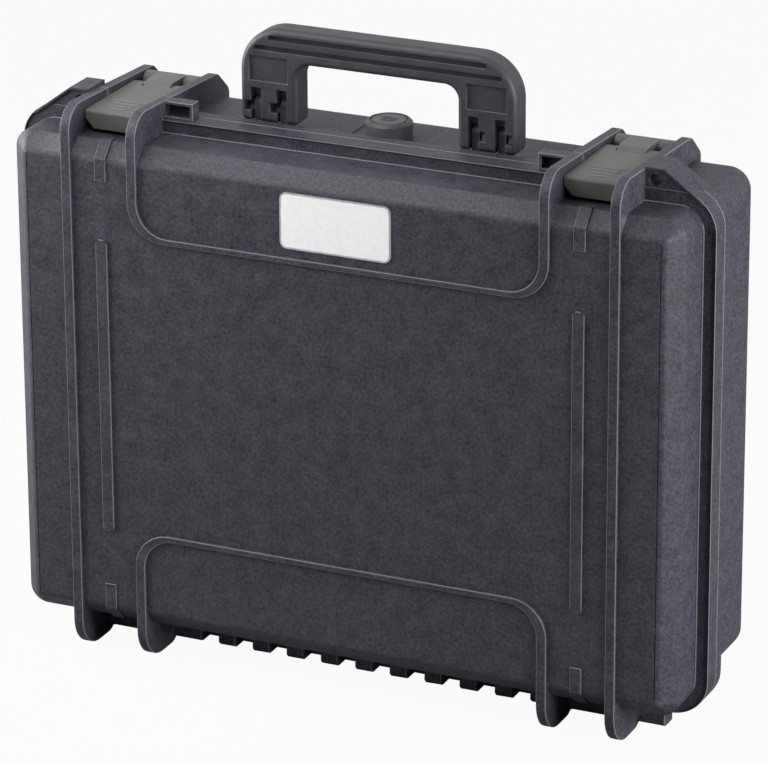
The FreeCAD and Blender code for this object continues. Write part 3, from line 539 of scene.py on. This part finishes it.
class CASE_OT_stage(bpy.types.Operator):
    """Make the floor, the lights and the camera"""
    bl_idname = "case.stage"
    bl_label = "Stage"

    def execute(self, context):
        scene = context.scene
        scene.view_settings.view_transform = "Standard"
        self.floor()
        self.world(scene)
        self.lamp("key", (-0.22, -0.34, 0.82), 0.45, 3.4)
        self.lamp("left", (-1.0, -0.22, 0.55), 0.7, 22)
        self.lamp("right", (1.8, -0.32, 0.65), 1.2, 68)
        self.lamp("top", (0.0, 0.4, 2.2), 1.6, 7)
        self.camera(scene)
        return {"FINISHED"}

    def floor(self):
        """Pale paper that keeps a faint shadow; the camera and the lamps reach an open lid below it."""
        material, tree = new_material("studio_paper")
        path = add(tree, "ShaderNodeLightPath")
        paper = add(tree, "ShaderNodeBsdfDiffuse", {"Color": linear("909090")})
        clear = add(tree, "ShaderNodeBsdfTransparent", {"Color": linear("ffffff")})
        seen = add(tree, "ShaderNodeMath", {0: path.outputs["Is Camera Ray"], 1: 0.95},
                   operation="MULTIPLY")
        share = add(tree, "ShaderNodeMath", {0: seen.outputs[0], 1: path.outputs["Is Shadow Ray"]},
                    operation="MAXIMUM")
        both = add(tree, "ShaderNodeMixShader",
                   {0: share.outputs[0], 1: paper.outputs[0], 2: clear.outputs[0]})
        add(tree, "ShaderNodeOutputMaterial", {"Surface": both.outputs[0]})
        mesh = bpy.data.meshes.new("floor")
        reach = 30.0
        corners = [(-reach, -reach, 0), (reach, -reach, 0), (reach, reach, 0), (-reach, reach, 0)]
        mesh.from_pydata(corners, [], [(0, 1, 2, 3)])
        mesh.materials.append(material)
        link(bpy.data.objects.new("floor", mesh))

    def world(self, scene):
        world = bpy.data.worlds.new("studio")
        world.use_nodes = True
        tree = world.node_tree
        tree.nodes.clear()
        path = add(tree, "ShaderNodeLightPath")
        direct = add(tree, "ShaderNodeMath",
                     {0: path.outputs["Is Camera Ray"], 1: path.outputs["Is Transmission Ray"]},
                     operation="MAXIMUM")
        seen = add(tree, "ShaderNodeMath", {0: direct.outputs[0], 1: path.outputs["Is Glossy Ray"]},
                   operation="MAXIMUM")
        dim = add(tree, "ShaderNodeBackground", {"Color": linear("e8ecf2"), "Strength": 0.18})
        white = add(tree, "ShaderNodeBackground", {"Color": linear("ffffff"), "Strength": 1.0})
        both = add(tree, "ShaderNodeMixShader",
                   {0: seen.outputs[0], 1: dim.outputs[0], 2: white.outputs[0]})
        add(tree, "ShaderNodeOutputWorld", {"Surface": both.outputs[0]})
        scene.world = world

    def lamp(self, name, place, width, power):
        data = bpy.data.lights.new(name, "AREA")
        data.shape = "SQUARE"
        data.size = width
        data.energy = power
        lamp = link(bpy.data.objects.new(name, data))
        lamp.location = place
        lamp.rotation_euler = (Vector((0, 0, 0.2)) - Vector(place)).to_track_quat("-Z", "Y").to_euler()

    def camera(self, scene):
        view = scene.case_stage
        aside, lift = view.azimuth, view.elevation
        back = Vector((math.sin(aside) * math.cos(lift), -math.cos(aside) * math.cos(lift), math.sin(lift)))
        level = Vector((math.cos(aside), math.sin(aside), 0))
        up = back.cross(level)
        right = math.cos(view.roll) * level + math.sin(view.roll) * up
        top = -math.sin(view.roll) * level + math.cos(view.roll) * up
        data = bpy.data.cameras.new("camera")
        data.lens = view.lens
        data.sensor_width = 36
        data.clip_end = 100
        camera = link(bpy.data.objects.new("camera", data))
        spot = back * view.distance + right * view.across + top * view.rise
        axes = Matrix((right, top, back)).transposed().to_4x4()
        camera.matrix_world = Matrix.Translation(spot) @ axes
        scene.camera = camera


class CASE_PT_panel(bpy.types.Panel):
    """The case's sizes, colours and steps"""
    bl_idname = "CASE_PT_panel"
    bl_label = "Hard case"
    bl_space_type = "VIEW_3D"
    bl_region_type = "UI"
    bl_category = "Hard case"

    def draw(self, context):
        for group in (context.scene.case_sizes, context.scene.case_colours, context.scene.case_stage):
            for name in group.__annotations__:
                self.layout.prop(group, name)
        for step in STEPS:
            self.layout.operator(step.bl_idname)


GROUPS = {"case_sizes": CaseSizes, "case_colours": CaseColours, "case_stage": StageSettings}
STEPS = (CASE_OT_shells, CASE_OT_latches, CASE_OT_handle, CASE_OT_fittings, CASE_OT_marks, CASE_OT_plate,
         CASE_OT_stage)


def register():
    for cls in (*GROUPS.values(), *STEPS, CASE_PT_panel):
        bpy.utils.register_class(cls)
    for name, group in GROUPS.items():
        setattr(bpy.types.Scene, name, PointerProperty(type=group))


def unregister():
    for name in GROUPS:
        delattr(bpy.types.Scene, name)
    for cls in reversed((*GROUPS.values(), *STEPS, CASE_PT_panel)):
        bpy.utils.unregister_class(cls)


def main():
    register()
    for step in STEPS:
        getattr(bpy.ops.case, step.bl_idname.split(".")[1])()


if __name__ == "__main__":
    main()
